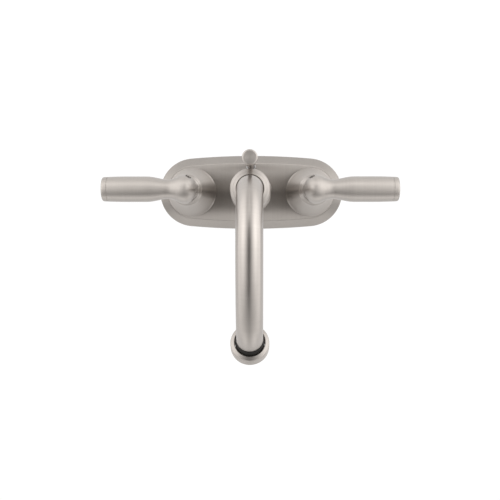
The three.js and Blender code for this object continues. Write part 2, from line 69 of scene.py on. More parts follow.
PLATE = {"length": 79.2, "width": 31.7, "end": 29.5, "run": 6.8, "rise": 6.5, "lid": 2.4, "wall": 3.0}
PLATE_HOLES = ((-HANDLE_X, 0.0, 12.3), (HANDLE_X, 0.0, 12.3), (0.0, 0.0, 12.9), (0.0, ROD_Y, 3.8))
GASKET_HOLES = ((-HANDLE_X, 0.0, 10.6), (HANDLE_X, 0.0, 10.6), (0.0, ROD_Y, 3.8))
GASKET = {"inset": 1.5, "middle": 30.0}
BELL = {"foot": 20.9, "foot_height": 2.2, "top": 12.0, "height": 46.5, "flare": 1.7, "wall": 1.7, "lid": 3.0,
        "bore": 6.6}
COLLAR = {"radius": 12.5, "height": 6.2, "bore": 4.9}
LEVER = {"axis": 64.0, "ball": 11.2, "inner": 8.6, "neck": 7.4, "neck_at": 13.4, "grip": 9.9, "tip": 9.4,
         "length": 64.2, "cap": 4.2, "leave_ball": 6.4, "grip_at": 30.0, "grip_end": 47.0}
LEVER_STUB = {"foot": 9.4, "top": 8.9, "height": 6.0, "bore": 5.2}
SET_SCREW = {"radius": 2.0, "from": 5.7, "to": 9.2, "socket": 1.04, "socket_floor": 1.5, "hole": 2.3,
             "turned_in": 17.0, "raised": 21.0}
STEM_RADIUS = 4.6
COLUMN = {"foot": 17.5, "foot_ring": 0.5, "top": 15.5, "height": 77.0, "shoulder": 3.6, "bore": 10.45,
          "wall": 1.9}
TUBE = {"radius": 9.9, "bore": 8.2, "bottom": 42.0, "lip": 0.5}
ARCH = {"rise": 43.0, "apex": 123.5, "crown": 119.3, "crown_end": 28.0, "bend": 32.0, "slant": 62.0}
# The outlet's "seal" is the black ring, whose black also paints the shade in the gap round the tube.
OUTLET = {"neck": 6.5, "seal": 11.0, "collar": 14.7, "length": 11.5, "bore": 11.2}
ROD_RADIUS = 2.5
KNOB = {"radius": 5.85, "sleeve": 3.6, "bottom": 22.0, "top": 95.0, "head": 4.5}
SHANK = {"bore": 6.5, "countersink": 1.2, "thread_depth": 1.1, "pitch": 1.814, "plain_top": 8.0,
         "lead_in": 1.2}
WASHER_BORE = 10.6
NUT = {"body": 15.0, "wing_half_width": 2.5, "edge": 0.5}

ROUND = 144
# A turned profile stops this short of its axis, so that no ring of it shrinks to a point.
NEAR_AXIS = 0.02
# Edges that turn by more than this many degrees stay sharp.
SHARP = 32.0


# ---------------------------------------------------------------- lofted meshes

def place(loops, matrix):
    return [[matrix @ point for point in loop] for loop in loops]


def loft(name, loops, closed=False, sharp=SHARP):
    """A closed mesh through loops of equal length, with its ends capped unless it closes on itself."""
    mesh = bmesh.new()
    uv = mesh.loops.layers.uv.new("UVMap")
    rows = [[mesh.verts.new(point * MM) for point in loop] for loop in loops]
    along = [0.0]
    for previous, current in zip(loops, loops[1:]):
        step = sum((b - a).length for a, b in zip(previous, current)) / len(current)
        along.append(along[-1] + step)
    count = len(loops[0])
    pairs = list(zip(range(len(rows) - 1), range(1, len(rows))))
    if closed:
        pairs.append((len(rows) - 1, 0))
    for low, high in pairs:
        for i in range(count):
            j = (i + 1) % count
            face = mesh.faces.new((rows[low][i], rows[low][j], rows[high][j], rows[high][i]))
            corners = ((i, low), (i + 1, low), (i + 1, high), (i, high))
            for corner, (column, row) in zip(face.loops, corners):
                corner[uv].uv = (column / count, along[row] * MM)
    if not closed:
        mesh.faces.new(list(reversed(rows[0])))
        mesh.faces.new(rows[-1])
    bmesh.ops.recalc_face_normals(mesh, faces=mesh.faces[:])
    data = bpy.data.meshes.new(name)
    mesh.to_mesh(data)
    mesh.free()
    data.shade_smooth()
    data.set_sharp_from_angle(angle=math.radians(sharp))
    piece = bpy.data.objects.new(name, data)
    bpy.context.scene.collection.objects.link(piece)
    return piece


def circle(radius, height, sides=ROUND):
    turn = 2 * math.pi / sides
    return [Vector((radius * math.cos(i * turn), radius * math.sin(i * turn), height)) for i in range(sides)]


def rounded(profile, steps=5):
    """A profile of (radius, height, rounding) corners as plain points, with each corner rounded."""
    points = []
    for i, (radius, height, rounding) in enumerate(profile):
        here = Vector((radius, height))
        if rounding == 0 or i in (0, len(profile) - 1):
            points.append(here)
            continue
        before = Vector(profile[i - 1][:2]) - here
        after = Vector(profile[i + 1][:2]) - here
        opening = before.angle(after)
        reach = min(rounding / math.tan(opening / 2), before.length * 0.49, after.length * 0.49)
        start = here + before.normalized() * reach
        end = here + after.normalized() * reach
        for k in range(steps + 1):
            t = k / steps
            points.append((1 - t) ** 2 * start + 2 * t * (1 - t) * here + t ** 2 * end)
    return points


def turned(name, profile, matrix=Matrix.Identity(4), sides=ROUND, closed=False):
    """A profile of (radius, height, rounding) corners turned about +Z, then placed."""
    points = rounded(profile)
    if closed:
        points = points[:-1]
    loops = [circle(max(point.x, NEAR_AXIS), point.y, sides) for point in points]
    return loft(name, place(loops, matrix), closed=closed)


def at(x, y, z=0.0):
    return Matrix.Translation((x, y, z))


def finish_piece(piece, body, material, slot, *nodes):
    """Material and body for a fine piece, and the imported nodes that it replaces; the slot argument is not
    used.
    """
    piece.data.materials.append(material)
    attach(piece, body)
    if nodes:
        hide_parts(*nodes)


# ---------------------------------------------------------------- materials

class Nodes:
    """A material's node tree with short calls for the nodes that the materials share."""

    def __init__(self, name):
        self.material = bpy.data.materials.new(name)
        self.material.use_nodes = True
        self.tree = self.material.node_tree
        self.shader = self.tree.nodes["Principled BSDF"]

    def new(self, kind):
        return self.tree.nodes.new(kind)

    def link(self, source, target):
        self.tree.links.new(source, target)

    def stretched(self, source, scale):
        mapping = self.new("ShaderNodeMapping")
        mapping.inputs["Scale"].default_value = scale
        self.link(source, mapping.inputs["Vector"])
        return mapping.outputs["Vector"]

    def noise(self, vector, scale, detail=3.0, roughness=0.5):
        node = self.new("ShaderNodeTexNoise")
        node.inputs["Scale"].default_value = scale
        node.inputs["Detail"].default_value = detail
        node.inputs["Roughness"].default_value = roughness
        self.link(vector, node.inputs["Vector"])
        return node.outputs["Fac"]

    def remap(self, value, low, high, source_low=0.3, source_high=0.7):
        node = self.new("ShaderNodeMapRange")
        node.inputs["From Min"].default_value = source_low
        node.inputs["From Max"].default_value = source_high
        node.inputs["To Min"].default_value = low
        node.inputs["To Max"].default_value = high
        self.link(value, node.inputs["Value"])
        return node.outputs["Result"]

    def ramp(self, value, dark, light):
        node = self.new("ShaderNodeValToRGB")
        node.color_ramp.elements[0].position = 0.3
        node.color_ramp.elements[0].color = (*dark, 1)
        node.color_ramp.elements[1].position = 0.7
        node.color_ramp.elements[1].color = (*light, 1)
        self.link(value, node.inputs["Fac"])
        return node.outputs["Color"]

    def math(self, operation, *values):
        node = self.new("ShaderNodeMath")
        node.operation = operation
        for socket, value in zip(node.inputs, values):
            if isinstance(value, (int, float)):
                socket.default_value = value
            else:
                self.link(value, socket)
        return node.outputs["Value"]

    def bump(self, height, distance, strength=1.0):
        node = self.new("ShaderNodeBump")
        node.inputs["Strength"].default_value = strength
        node.inputs["Distance"].default_value = distance
        self.link(height, node.inputs["Height"])
        self.link(node.outputs["Normal"], self.shader.inputs["Normal"])

    def set(self, **values):
        for key, value in values.items():
            self.shader.inputs[key.replace("_", " ")].default_value = value


NICKEL_LIGHT = (0.432, 0.402, 0.377)
NICKEL_DARK = (0.395, 0.366, 0.342)
# Noise scales of the fine scratches and of the broader streaks. On flat pieces they are per metre of X, Y and
# Z; on turned ones per turn and per metre of the UV map.
SCRATCHES = {"along": (3000.0, 45.0, 3000.0), "round": (1.5, 5200.0, 1.0)}
SCRATCH_DETAIL = {"along": 4.0, "round": 3.0}
STREAKS = {"along": (1100.0, 14.0, 1100.0), "round": (0.8, 1300.0, 1.0)}


def brushed_nickel(name, grain, roughness, anisotropy):
    """Nickel brushed along the faucet's Y axis ("along") or round a turned piece ("round").

    The scratches spread reflections at right angles to themselves, which is along the UV map's second axis.
    """
    mat = Nodes(name)
    coordinates = mat.new("ShaderNodeTexCoord")
    cloud = mat.noise(coordinates.outputs["Object"], 60.0, 2.0)
    position = coordinates.outputs["Object" if grain == "along" else "UV"]
    lines = mat.noise(mat.stretched(position, SCRATCHES[grain]), 1.0, SCRATCH_DETAIL[grain], 0.6)
    streaks = mat.noise(mat.stretched(position, STREAKS[grain]), 1.0, 3.0, 0.7)
    shade = mat.math("ADD", mat.math("MULTIPLY", streaks, 0.7), mat.math("MULTIPLY", cloud, 0.3))
    mat.link(mat.ramp(shade, NICKEL_DARK, NICKEL_LIGHT), mat.shader.inputs["Base Color"])
    satin = mat.remap(lines, roughness - 0.035, roughness + 0.035)
    worn = mat.remap(cloud, -0.02, 0.02)
    mat.link(mat.math("ADD", satin, worn), mat.shader.inputs["Roughness"])
    mat.bump(lines, 0.000012, 0.35)
    mat.set(Metallic=1.0, Anisotropic=anisotropy, Anisotropic_Rotation=0.25)
    tangent = mat.new("ShaderNodeTangent")
    tangent.direction_type = "UV_MAP"
    tangent.uv_map = "UVMap"
    mat.link(tangent.outputs["Tangent"], mat.shader.inputs["Tangent"])
    return mat.material


def machined(name, light, dark, roughness):
    """Metal with fine tool marks."""
    mat = Nodes(name)
    coordinates = mat.new("ShaderNodeTexCoord")
    cloud = mat.noise(coordinates.outputs["Object"], 90.0, 3.0)
    lines = mat.noise(mat.stretched(coordinates.outputs["Object"], (60.0, 60.0, 2400.0)), 1.0, 3.0)
    mat.link(mat.ramp(cloud, dark, light), mat.shader.inputs["Base Color"])
    mat.link(mat.remap(lines, roughness - 0.06, roughness + 0.08), mat.shader.inputs["Roughness"])
    mat.bump(lines, 0.00002, 0.4)
    mat.set(Metallic=1.0)
    return mat.material


def moulded(name, light, dark, roughness, bump=0.00002, specular=0.5):
    """Plastic, rubber or ceramic with a fine grain."""
    mat = Nodes(name)
    coordinates = mat.new("ShaderNodeTexCoord")
    grain = mat.noise(coordinates.outputs["Object"], 900.0, 4.0, 0.6)
    cloud = mat.noise(coordinates.outputs["Object"], 70.0, 2.0)
    mat.link(mat.ramp(cloud, dark, light), mat.shader.inputs["Base Color"])
    mat.link(mat.remap(grain, roughness - 0.06, roughness + 0.08), mat.shader.inputs["Roughness"])
    mat.bump(grain, bump, 0.5)
    mat.set(Specular_IOR_Level=specular)
    return mat.material


PLATE_NICKEL = brushed_nickel("nickel_brushed_along", "along", 0.50, 0.97)
TURNED_NICKEL = brushed_nickel("nickel_turned", "round", 0.42, 0.8)
LEVER_NICKEL = brushed_nickel("nickel_lever", "round", 0.43, 0.75)
TUBE_NICKEL = brushed_nickel("nickel_tube", "round", 0.33, 0.7)
KNOB_NICKEL = brushed_nickel("nickel_knob", "round", 0.44, 0.35)
BRASS = machined("machined_brass", (0.72, 0.54, 0.27), (0.62, 0.45, 0.21), 0.34)
STEEL = machined("zinc_steel", (0.62, 0.63, 0.64), (0.54, 0.55, 0.56), 0.36)
RUBBER = moulded("black_rubber", (0.008, 0.0065, 0.005), (0.004, 0.0035, 0.003), 0.55, specular=0.2)
WHITE_PLASTIC = moulded("white_plastic", (0.80, 0.79, 0.75), (0.74, 0.73, 0.69), 0.42)
GREY_PLASTIC = moulded("grey_plastic", (0.22, 0.23, 0.24), (0.17, 0.18, 0.19), 0.48)
CERAMIC = moulded("lapped_ceramic", (0.86, 0.85, 0.81), (0.80, 0.79, 0.75), 0.18, 0.000004)

SLOT_MATERIALS = {
    "brushed_nickel": TURNED_NICKEL,
    "brass": BRASS,
    "steel": STEEL,
    "black_rubber": RUBBER,
    "white_plastic": WHITE_PLASTIC,
    "grey_plastic": GREY_PLASTIC,
    "ceramic": CERAMIC,
}


def dress_packed_nodes():
    """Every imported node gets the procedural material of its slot; the fine pieces then hide some of them."""
    for entry in frame["record"]["subparts"]:
        node = frame["nodes"][entry["node"]]
        node.data.materials.clear()
        node.data.materials.append(SLOT_MATERIALS[entry["material_slot"]])


# ---------------------------------------------------------------- base plate and gasket

def oval(inset, height, per_arc=48):
    """The plate's outline at an inset: two end arcs joined by slightly bowed sides."""
    end_centre = PLATE["length"] - PLATE["end"]
    rise = PLATE["width"] - PLATE["end"]
    side = (end_centre ** 2 + PLATE["width"] ** 2 - PLATE["end"] ** 2) / (2 * rise)
    join = math.atan2(side - PLATE["width"], end_centre)
    arcs = (
        (end_centre, 0, PLATE["end"] - inset, -join, join),
        (0, PLATE["width"] - side, side - inset, join, math.pi - join),
        (-end_centre, 0, PLATE["end"] - inset, math.pi - join, math.pi + join),
        (0, side - PLATE["width"], side - inset, math.pi + join, 2 * math.pi - join),
    )
    points = []
    for x, y, radius, start, stop in arcs:
        for i in range(per_arc):
            angle = start + (stop - start) * i / per_arc
            points.append(Vector((x + radius * math.cos(angle), y + radius * math.sin(angle), height)))
    return points


def oval_loft(name, profile):
    """A profile of (inset, height, rounding) corners carried round the oval."""
    return loft(name, [oval(point.x, point.y) for point in rounded(profile, 7)])


def planar_uv(piece):
    """UVs in metres on the faces that look up, first along Y and then along X, for brushing along Y."""
    layer = piece.data.uv_layers["UVMap"]
    for face in piece.data.polygons:
        if face.normal.z < 0.2:
            continue
        for corner in face.loop_indices:
            point = piece.data.vertices[piece.data.loops[corner].vertex_index].co
            layer.data[corner].uv = (point.y, point.x)


def cut(piece, cutter):
    """The cutter is taken out of the piece and then deleted."""
    modifier = piece.modifiers.new("cut", "BOOLEAN")
    modifier.operation = "DIFFERENCE"
    modifier.solver = "EXACT"
    modifier.object = cutter
    graph = bpy.context.evaluated_depsgraph_get()
    result = bpy.data.meshes.new_from_object(piece.evaluated_get(graph))
    piece.modifiers.clear()
    piece.data = result
    cutter_mesh = cutter.data
    bpy.data.objects.remove(cutter)
    bpy.data.meshes.remove(cutter_mesh)


def make_plate():
    bottom = box_mm("base_plate")[0].z
    lid = PLATE_TOP - PLATE["lid"]
    shoulder = PLATE_TOP - PLATE["rise"]
    wall = PLATE["wall"]
    plate = oval_loft("plate_shell", [
        (PLATE["run"] + wall, lid, 0),
        (PLATE["run"] + wall, shoulder, 0.4),
        (wall, shoulder, 0.6),
        (wall, bottom, 0),
        (0.35, bottom, 0.3),
        (0, bottom + 0.6, 0.6),
        (0, shoulder, 1.6),
        (PLATE["run"], PLATE_TOP, 1.1),
        (PLATE["run"] + 4, PLATE_TOP, 0),
    ])
    for x, y, radius in PLATE_HOLES:
        cutter = loft("cutter", place([circle(radius, 0), circle(radius, PLATE_TOP + 2)], at(x, y)))
        cut(plate, cutter)
    plate.data.set_sharp_from_angle(angle=math.radians(SHARP))
    planar_uv(plate)
    finish_piece(plate, "base", PLATE_NICKEL, "brushed_nickel", "base_plate")


def make_gasket():
    top = box_mm("base_gasket")[1].z
    gasket = oval_loft("gasket_sheet", [
        (GASKET["middle"], 0, 0),
        (GASKET["inset"], 0, 0.25),
        (GASKET["inset"], top, 0.25),
        (GASKET["middle"], top, 0),
    ])
    for x, y, radius in GASKET_HOLES:
        cut(gasket, loft("cutter", place([circle(radius, -2), circle(radius, 4)], at(x, y))))
    gasket.data.set_sharp_from_angle(angle=math.radians(SHARP))
    finish_piece(gasket, "base", RUBBER, "black_rubber", "base_gasket")


# ---------------------------------------------------------------- handles

def bell_radius(height):
    """Outer radius of the bell at a height above the plate."""
    rise = max(0.0, (height - BELL["foot_height"]) / (BELL["height"] - BELL["foot_height"]))
    edge = BELL["foot"] - 0.7
    return BELL["top"] + (edge - BELL["top"]) * max(0.0, 1 - rise) ** BELL["flare"]


def make_bell(side, name):
    low = PLATE_TOP + GAP
    steps = 40
    flank = []
    for i in range(steps + 1):
        height = BELL["foot_height"] + (BELL["height"] - BELL["foot_height"] - 0.5) * i / steps
        flank.append((bell_radius(height), PLATE_TOP + height, 0))
    inside = [(bell_radius(h) - BELL["wall"], PLATE_TOP + h, 0) for h in (40, 30, 20, 12, 6, 3)]
    high = PLATE_TOP + BELL["height"]
    profile = [
        (BELL["foot"] - 2.4, low, 0),
        (BELL["foot"] - 0.4, low, 0.2),
        (BELL["foot"], low + 0.5, 0.3),
        (BELL["foot"], PLATE_TOP + BELL["foot_height"] - 0.6, 0.6),
        *flank,
        (BELL["top"] - 0.6, high, 0),
        (BELL["bore"], high, 0),
        (BELL["bore"], high - BELL["lid"], 0),
        *inside,
        (BELL["foot"] - 2.4, low, 0),
    ]
    bell = turned(f"bell_{name}", profile, at(side * HANDLE_X, 0), closed=True)
    finish_piece(bell, "base", TURNED_NICKEL, "brushed_nickel", f"handle_bell_{name}")


def make_collar(side, name, body):
    low = PLATE_TOP + BELL["height"] + GAP
    radius = COLLAR["radius"]
    step = COLLAR["height"] / 2
    bore = COLLAR["bore"]
    collar = turned(f"collar_{name}", [
        (bore, low, 0),
        (radius - 0.8, low, 0.4),
        (radius, low + 0.9, 0.9),
        (radius, low + step - 0.9, 1.2),
        (radius - 1.5, low + step + 0.3, 0.15),
        (radius - 1.3, low + step + 0.8, 0.4),
        (radius - 1.5, low + 2 * step - 1.2, 0.9),
        (radius - 2.8, low + 2 * step, 0.8),
        (bore, low + 2 * step, 0),
        (bore, low, 0),
    ], at(side * HANDLE_X, 0), closed=True)
    finish_piece(collar, body, TURNED_NICKEL, "brushed_nickel", f"handle_collar_{name}")


def lever_radius(reach):
    """Radius of the lever at a distance from the handle's axis: ball, neck, flare, grip and tip."""
    ball, neck, neck_at = LEVER["ball"], LEVER["neck"], LEVER["neck_at"]
    grip, tip, length = LEVER["grip"], LEVER["tip"], LEVER["length"]
    leave, grip_at, grip_end = LEVER["leave_ball"], LEVER["grip_at"], LEVER["grip_end"]
    if reach < leave:
        return math.sqrt(max(0.0, ball ** 2 - reach ** 2))
    if reach < neck_at:
        start = math.sqrt(ball ** 2 - leave ** 2)
        t = (reach - leave) / (neck_at - leave)
        return start + (neck - start) * math.sin(t * math.pi / 2)
    if reach < grip_at:
        t = (reach - neck_at) / (grip_at - neck_at)
        blend = 0.35 * t * t * (3 - 2 * t) + 0.65 * math.sin(t * math.pi / 2) ** 1.35
        return neck + (grip - neck) * blend
    if reach < grip_end:
        return grip
    return grip + (tip - grip) * ((reach - grip_end) / (length - grip_end)) ** 1.6


def lever_matrix(side):
    """The lever's own +Z runs outwards along its axis."""
    lie = Matrix.Rotation(side * math.pi / 2, 4, "Y")
    return at(side * HANDLE_X, 0, PLATE_TOP + LEVER["axis"]) @ lie


def into_ball(side):
    """A frame at the ball's height whose +Z points backwards, a little inwards and upwards."""
    turn = Matrix.Rotation(math.radians(side * SET_SCREW["turned_in"]), 4, "Z")
    lie = Matrix.Rotation(math.radians(SET_SCREW["raised"] - 90), 4, "X")
    return at(side * HANDLE_X, 0, PLATE_TOP + LEVER["axis"]) @ turn @ lie


def hexagon(half_width, height, sides):
    """A hexagon drawn with as many points as the circles that it joins."""
    loop = []
    for i in range(sides):
        angle = 2 * math.pi * i / sides
        folded = (angle % (math.pi / 3)) - math.pi / 6
        radius = half_width / math.cos(folded)
        loop.append(Vector((radius * math.cos(angle), radius * math.sin(angle), height)))
    return loop


def make_set_screw(side, name, body):
    """A cup-point screw with a hexagonal socket."""
    radius, low, high = SET_SCREW["radius"], SET_SCREW["from"], SET_SCREW["to"]
    sides = 72
    loops = [
        circle(radius - 0.5, low, sides),
        circle(radius, low + 0.5, sides),
        circle(radius, high - 0.3, sides),
        circle(radius - 0.3, high, sides),
        hexagon(SET_SCREW["socket"], high, sides),
        hexagon(SET_SCREW["socket"], low + SET_SCREW["socket_floor"], sides),
    ]
    screw = loft(f"socket_screw_{name}", place(loops, into_ball(side)))
    finish_piece(screw, body, STEEL, "steel", f"handle_set_screw_{name}")


def make_lever(side, name, body):
    """Ball, neck and grip in one, with the set screw's hole drilled into the ball."""
    ball = LEVER["ball"]
    cap_from = LEVER["length"] - LEVER["cap"]
    chamfer = 0.15
    profile = []
    inner_steps = 25
    for i in range(inner_steps):
        angle = math.radians(-90 + 90 * i / inner_steps)
        profile.append((ball * math.cos(angle), LEVER["inner"] * math.sin(angle), 0))
    outer_steps = 90
    for i in range(outer_steps + 1):
        reach = (cap_from - chamfer) * i / outer_steps
        profile.append((lever_radius(reach), reach, 0))
    profile.append((lever_radius(cap_from) - chamfer, cap_from, 0))
    lever = turned(f"lever_{name}", profile, lever_matrix(side), sides=160)
    drill = [circle(SET_SCREW["hole"], height, 48) for height in (STEM_RADIUS, ball + 4)]
    cut(lever, loft("cutter", place(drill, into_ball(side))))
    lever.data.set_sharp_from_angle(angle=math.radians(SHARP))
    finish_piece(lever, body, LEVER_NICKEL, "brushed_nickel", f"handle_lever_{name}")


def make_lever_stub(side, name, body):
    """The short foot between the collar and the ball."""
    low = PLATE_TOP + BELL["height"] + COLLAR["height"] + 2 * GAP
    high = low + LEVER_STUB["height"]
    stub = turned(f"lever_stub_{name}", [
        (LEVER_STUB["bore"], low, 0),
        (LEVER_STUB["foot"], low, 0.3),
        (LEVER_STUB["foot"] - 0.3, low + 1.0, 0.4),
        (LEVER_STUB["top"], high, 0),
        (LEVER_STUB["bore"], high, 0),
        (LEVER_STUB["bore"], low, 0),
    ], at(side * HANDLE_X, 0), closed=True)
    finish_piece(stub, body, LEVER_NICKEL, "brushed_nickel")


def make_end_cap(side, name, body):
    edge = lever_radius(LEVER["length"])
    cap_low = LEVER["length"] - LEVER["cap"] + 0.05
    cap = turned(f"end_cap_{name}", [
        (NEAR_AXIS, cap_low, 0),
        (lever_radius(cap_low) - 0.05, cap_low, 0.2),
        (lever_radius(cap_low), cap_low + 0.25, 0.1),
        (edge, LEVER["length"], 1.7),
        (NEAR_AXIS, LEVER["length"], 0),
    ], lever_matrix(side))
    finish_piece(cap, body, LEVER_NICKEL, "brushed_nickel", f"lever_end_cap_{name}")


# ---------------------------------------------------------------- spout column

def make_column():
    low = PLATE_TOP + GAP
    high = PLATE_TOP + COLUMN["height"]
    foot, top, shoulder, bore = COLUMN["foot"], COLUMN["top"], COLUMN["shoulder"], COLUMN["bore"]
    ring, wall = COLUMN["foot_ring"], COLUMN["wall"]
    column = turned("column_shell", [
        (foot - wall, low, 0),
        (foot + ring - 0.2, low, 0.2),
        (foot + ring, low + 0.3, 0.2),
        (foot + ring, low + 1.4, 0.4),
        (foot, low + 1.9, 0.3),
        (top, high - shoulder, 0.8),
        (top - 0.5, high - 0.72 * shoulder, 0.6),
        (top - 2.3, high - 0.36 * shoulder, 0.12),
        (top - 2.5, high - 0.36 * shoulder + 0.02, 0.05),
        (bore + 0.5, high + 0.08, 0.3),
        (bore, high - 0.4, 0.2),
        (bore, high - 4, 0),
        (top - wall, high - 4.6, 0),
        (foot - wall, low, 0),
    ], closed=True)
    finish_piece(column, "base", TURNED_NICKEL, "brushed_nickel", "spout_column")


# ---------------------------------------------------------------- spout tube and outlet

def arch_points():
    """The tube's centre line as (place, direction) pairs: riser, rising arc, long crown and end bend."""
    riser_top = PLATE_TOP + ARCH["apex"] - ARCH["rise"]
    riser_steps = 6
    line = []
    for i in range(riser_steps):
        height = TUBE["bottom"] + (riser_top - TUBE["bottom"]) * i / riser_steps
        line.append((Vector((0, 0, height)), 90.0))
    reach, height = 0.0, riser_top
    stretches = (
        (ARCH["rise"], 90.0, 0.0, 60),
        (ARCH["crown"], 0.0, -ARCH["crown_end"], 50),
        (ARCH["bend"], -ARCH["crown_end"], -ARCH["slant"], 26),
    )
    for radius, start, stop, steps in stretches:
        centre_reach = reach + radius * math.sin(math.radians(start))
        centre_height = height - radius * math.cos(math.radians(start))
        for i in range(steps + 1):
            slope = math.radians(start + (stop - start) * i / steps)
            spot_reach = centre_reach - radius * math.sin(slope)
            spot_height = centre_height + radius * math.cos(slope)
            if i < steps or stop == -ARCH["slant"]:
                line.append((Vector((0, -spot_reach, spot_height)), math.degrees(slope)))
        reach, height = spot_reach, spot_height
    return line


def across(centre, slope, radius, sides=ROUND):
    """A circle across the tube where its direction rises at a slope from the forward direction."""
    turn = math.radians(slope)
    up = Vector((0, math.sin(turn), math.cos(turn)))
    loop = []
    for i in range(sides):
        angle = 2 * math.pi * i / sides
        loop.append(centre + radius * (math.sin(angle) * Vector((1, 0, 0)) - math.cos(angle) * up))
    return loop


def make_tube():
    line = arch_points()
    outer = [across(spot, slope, TUBE["radius"]) for spot, slope in line]
    inner = [across(spot, slope, TUBE["bore"]) for spot, slope in line]
    for end in (0, -1):
        outer[end] = across(*line[end], TUBE["radius"] - TUBE["lip"])
    tube = loft("spout_arch", outer + list(reversed(inner)), closed=True)
    finish_piece(tube, "spout", TUBE_NICKEL, "brushed_nickel", "spout_tube")


def outlet_matrix():
    """The outlet's own +Z runs out of the spout along its slanted axis."""
    end = arch_points()[-1][0]
    return Matrix.Translation(end) @ Matrix.Rotation(math.radians(90 + ARCH["slant"]), 4, "X")


def make_painted_shade_ring():
    """The black ring between the tube and the outlet's collar: a rubber seal whose black also paints the shade
    of the deep gap there.
    """
    neck, black_ring_radius = OUTLET["neck"], OUTLET["seal"]
    tube = TUBE["radius"]
    seal = turned("outlet_black_ring", [
        (tube - 0.3, 0.5, 0),
        (tube, 0.5, 0.1),
        (tube + 0.3, 2.0, 1.0),
        (black_ring_radius, neck - 0.7, 0.6),
        (black_ring_radius, neck + 1.2, 0),
        (tube - 0.4, neck + 1.2, 0),
        (tube - 0.4, 0.4, 0),
    ], outlet_matrix(), closed=True)
    finish_piece(seal, "spout", RUBBER, "black_rubber", "outlet_seal_ring")


def make_outlet():
    neck, black_ring_radius = OUTLET["neck"], OUTLET["seal"]
    rim = neck - 0.6
    foot = rim + OUTLET["length"]
    radius, bore = OUTLET["collar"], OUTLET["bore"]
    collar = turned("outlet_shell", [
        (black_ring_radius + GAP, neck + 1.5, 0),
        (black_ring_radius + GAP, rim, 0.08),
        (black_ring_radius + 0.9, rim - 0.3, 0.2),
        (radius - 0.3, rim + 0.9, 0.9),
        (radius, rim + 2.6, 1.2),
        (radius, foot - 0.8, 0.6),
        (radius - 0.8, foot, 0.5),
        (bore + 0.5, foot, 0.3),
        (bore, foot - 0.6, 0.3),
        (bore, neck + 1.5, 0),
        (black_ring_radius + GAP, neck + 1.5, 0),
    ], outlet_matrix(), closed=True)
    finish_piece(collar, "spout", LEVER_NICKEL, "brushed_nickel", "outlet_collar")


# ---------------------------------------------------------------- lift rod

def make_lift_rod():
    low, high = box_mm("lift_rod")
    bar = turned("lift_rod_bar", [
        (NEAR_AXIS, low.z, 0),
        (ROD_RADIUS, low.z, 0.9),
        (ROD_RADIUS, high.z, 0.2),
        (NEAR_AXIS, high.z, 0),
    ], at(0, ROD_Y), sides=64)
    finish_piece(bar, "lift_rod", TURNED_NICKEL, "brushed_nickel", "lift_rod")


def make_knob():
    """The knob's head and its long sleeve round the rod."""
    low = PLATE_TOP + KNOB["bottom"]
    high = PLATE_TOP + KNOB["top"]
    head_low = high - KNOB["head"]
    knob = turned("lift_rod_knob_turned", [
        (ROD_RADIUS + GAP, low, 0),
        (KNOB["sleeve"], low, 0.4),
        (KNOB["sleeve"], head_low - 3, 2.0),
        (KNOB["radius"] - 0.6, head_low, 0.8),
        (KNOB["radius"], head_low + 1, 0.5),
        (KNOB["radius"], high - 0.9, 0.4),
        (KNOB["radius"] - 0.9, high - 0.1, 0.25),
        (KNOB["radius"] - 2.5, high - 0.03, 0),
        (NEAR_AXIS, high, 0),
    ], at(0, ROD_Y), sides=96)
    finish_piece(knob, "lift_rod", KNOB_NICKEL, "brushed_nickel", "lift_rod_knob")


# ---------------------------------------------------------------- under the deck

def make_washer(side, name):
    low, high = box_mm(f"mounting_washer_{name}")
    radius = (high.x - low.x) / 2
    washer = turned(f"clamp_washer_{name}", [
        (WASHER_BORE, low.z, 0),
        (radius, low.z, 0.4),
        (radius, high.z, 0.4),
        (WASHER_BORE, high.z, 0),
        (WASHER_BORE, low.z, 0),
    ], at(side * HANDLE_X, 0), closed=True)
    finish_piece(washer, "base", STEEL, "steel", f"mounting_washer_{name}")


def make_shank(side, name):
    """The shank with a real helical thread, and a plain end at the top."""
    low, high = box_mm(f"shank_{name}")
    crest = (high.x - low.x) / 2
    root = crest - SHANK["thread_depth"]
    bore, pitch = SHANK["bore"], SHANK["pitch"]
    per_pitch = 8
    sides = 64
    steps = int((high.z - low.z) / pitch * per_pitch)
    outer = []
    for row in range(steps + 1):
        height = low.z + (high.z - low.z) * row / steps
        fade = min(1.0, (high.z - height) / SHANK["plain_top"], (height - low.z + 0.4) / SHANK["lead_in"])
        loop = []
        for i in range(sides):
            phase = (height / pitch - i / sides) % 1.0
            wave = 1 - abs(2 * phase - 1)
            radius = root + (crest - root) * (wave * fade + (1 - fade) * (0.9 if height > 0 else 0.1))
            angle = 2 * math.pi * i / sides
            loop.append(Vector((radius * math.cos(angle), radius * math.sin(angle), height)))
        outer.append(loop)
    inner = [
        circle(bore, high.z, sides),
        circle(bore, low.z + 1.5, sides),
        circle(bore + SHANK["countersink"], low.z, sides),
    ]
    loops = place(outer + inner, at(side * HANDLE_X, 0))
    shank = loft(f"threaded_shank_{name}", loops, closed=True, sharp=50.0)
    finish_piece(shank, "base", BRASS, "brass", f"shank_{name}")


def star(height, body_radius, wing_reach, wing_half_width, sides):
    """A round nut's outline with four wings."""
    loop = []
    for i in range(sides):
        angle = 2 * math.pi * i / sides
        nearest = round(angle / (math.pi / 2)) * math.pi / 2
        offset = angle - nearest
        reach = body_radius
        if abs(offset) < math.pi / 4:
            side_limit = wing_half_width / max(1e-6, abs(math.sin(offset)))
            end_limit = wing_reach / math.cos(offset)
            reach = max(body_radius, min(side_limit, end_limit))
        loop.append(Vector((reach * math.cos(angle), reach * math.sin(angle), height)))
    return loop


